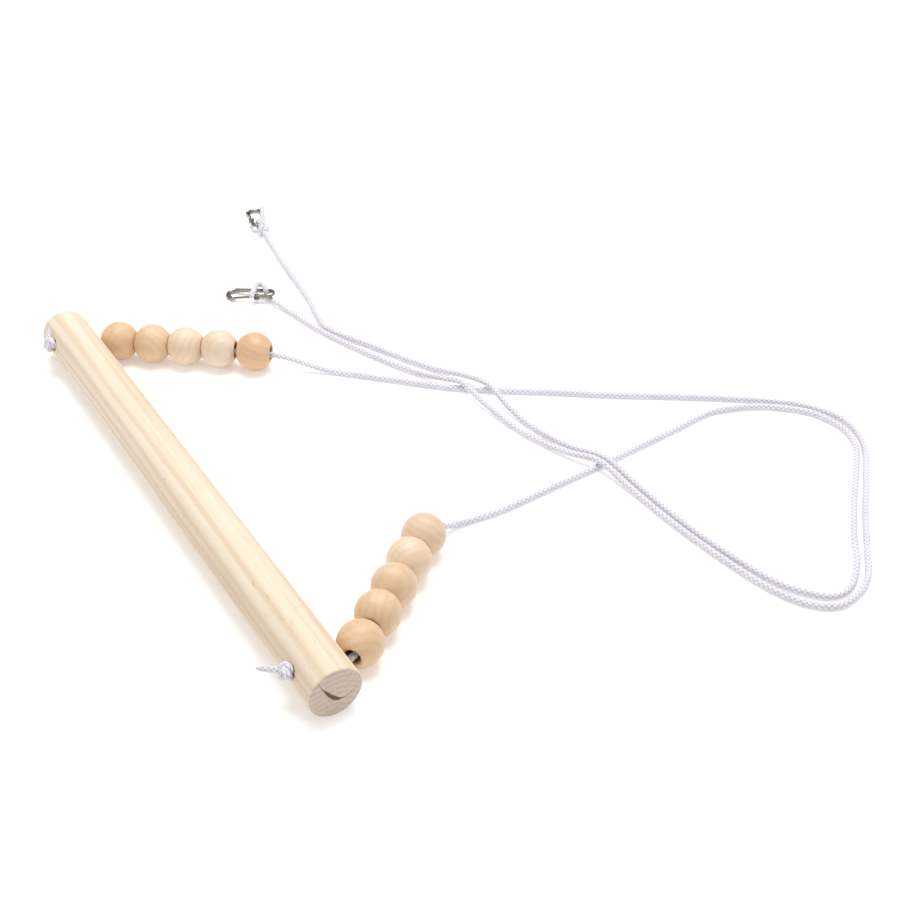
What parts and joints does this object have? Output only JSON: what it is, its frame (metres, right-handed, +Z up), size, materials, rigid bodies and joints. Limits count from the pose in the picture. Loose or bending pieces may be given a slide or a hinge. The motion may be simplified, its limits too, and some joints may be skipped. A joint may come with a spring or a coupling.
{
  "type": "hanging trapeze bar",
  "caption": "Round wooden bar hung on two braided cords, each threaded through wooden beads at the bar and tied to a spring snap hook; laid flat on the floor.",
  "frame": {"origin": "middle of the wooden bar's axis", "axes": "+X along the bar, +Y from the bar towards the beads and cords, +Z up from the floor the set lies on"},
  "size_m": [0.5647, 0.4228, 0.03],
  "materials": {
    "bar_wood": "pale pine, sanded, unvarnished",
    "bead_wood": "natural turned wood, sanded, faint wax",
    "cord_white": "white braided cord, matt",
    "hook_steel": "bright plated steel, polished"
  },
  "bodies": {
    "bar_and_cords": {"bar": "bar_wood", "cord_left": "cord_white", "cord_right": "cord_white", "stopper_knot_left": "cord_white", "stopper_knot_right": "cord_white"},
    "bead_left_1": {"bead_left_1": "bead_wood"},
    "bead_left_2": {"bead_left_2": "bead_wood"},
    "bead_left_3": {"bead_left_3": "bead_wood"},
    "bead_left_4": {"bead_left_4": "bead_wood"},
    "bead_left_5": {"bead_left_5": "bead_wood"},
    "bead_right_1": {"bead_right_1": "bead_wood"},
    "bead_right_2": {"bead_right_2": "bead_wood"},
    "bead_right_3": {"bead_right_3": "bead_wood"},
    "bead_right_4": {"bead_right_4": "bead_wood"},
    "bead_right_5": {"bead_right_5": "bead_wood"},
    "hook_left": {"hitch_knot_left": "cord_white", "hook_body_left": "hook_steel", "gate_pin_left": "hook_steel", "gate_spring_left": "hook_steel"},
    "gate_left": {"hook_gate_left": "hook_steel"},
    "hook_right": {"hitch_knot_right": "cord_white", "hook_body_right": "hook_steel", "gate_pin_right": "hook_steel", "gate_spring_right": "hook_steel"},
    "gate_right": {"hook_gate_right": "hook_steel"}
  },
  "joints": [
    {"name": "spin_bead_left_1", "type": "hinge", "parent": "bar_and_cords", "child": "bead_left_1", "pos_m": [-0.16146, 0.02769, -0.0025], "axis": [0.6157, 0.788, 0], "continuous": true},
    {"name": "spin_bead_left_2", "type": "hinge", "parent": "bar_and_cords", "child": "bead_left_2", "pos_m": [-0.14785, 0.0451, -0.0025], "axis": [0.6157, 0.788, 0], "continuous": true},
    {"name": "spin_bead_left_3", "type": "hinge", "parent": "bar_and_cords", "child": "bead_left_3", "pos_m": [-0.13425, 0.06252, -0.0025], "axis": [0.6157, 0.788, 0], "continuous": true},
    {"name": "spin_bead_left_4", "type": "hinge", "parent": "bar_and_cords", "child": "bead_left_4", "pos_m": [-0.12064, 0.07993, -0.0025], "axis": [0.6157, 0.788, 0], "continuous": true},
    {"name": "spin_bead_left_5", "type": "hinge", "parent": "bar_and_cords", "child": "bead_left_5", "pos_m": [-0.10623, 0.09837, -0.0025], "axis": [0.6157, 0.788, 0], "continuous": true},
    {"name": "spin_bead_right_1", "type": "hinge", "parent": "bar_and_cords", "child": "bead_right_1", "pos_m": [0.16146, 0.02769, -0.0025], "axis": [-0.6157, 0.788, 0], "continuous": true},
    {"name": "spin_bead_right_2", "type": "hinge", "parent": "bar_and_cords", "child": "bead_right_2", "pos_m": [0.14705, 0.04613, -0.0025], "axis": [-0.6157, 0.788, 0], "continuous": true},
    {"name": "spin_bead_right_3", "type": "hinge", "parent": "bar_and_cords", "child": "bead_right_3", "pos_m": [0.13345, 0.06354, -0.0025], "axis": [-0.6157, 0.788, 0], "continuous": true},
    {"name": "spin_bead_right_4", "type": "hinge", "parent": "bar_and_cords", "child": "bead_right_4", "pos_m": [0.11984, 0.08096, -0.0025], "axis": [-0.6157, 0.788, 0], "continuous": true},
    {"name": "spin_bead_right_5", "type": "hinge", "parent": "bar_and_cords", "child": "bead_right_5", "pos_m": [0.10623, 0.09837, -0.0025], "axis": [-0.6157, 0.788, 0], "continuous": true},
    {"name": "swing_hook_left", "type": "hinge", "parent": "bar_and_cords", "child": "hook_left", "pos_m": [-0.16901, 0.14333, -0.0107], "axis": [0, 0, 1], "range_deg": [-40, 40]},
    {"name": "open_gate_left", "type": "hinge", "parent": "hook_left", "child": "gate_left", "pos_m": [-0.17992, 0.135, -0.01046], "axis": [-0.0891, -0.1025, 0.9907], "range_deg": [-24, 0], "stiffness_Nm_per_rad": 0.02, "springref_deg": 20.05},
    {"name": "swing_hook_right", "type": "hinge", "parent": "bar_and_cords", "child": "hook_right", "pos_m": [-0.2655, 0.182, -0.0107], "axis": [0, 0, 1], "range_deg": [-40, 40]},
    {"name": "open_gate_right", "type": "hinge", "parent": "hook_right", "child": "gate_right", "pos_m": [-0.28301, 0.1806, -0.01046], "axis": [-0.1268, 0.0487, 0.9907], "range_deg": [-24, 0], "stiffness_Nm_per_rad": 0.02, "springref_deg": 20.05}
  ]
}
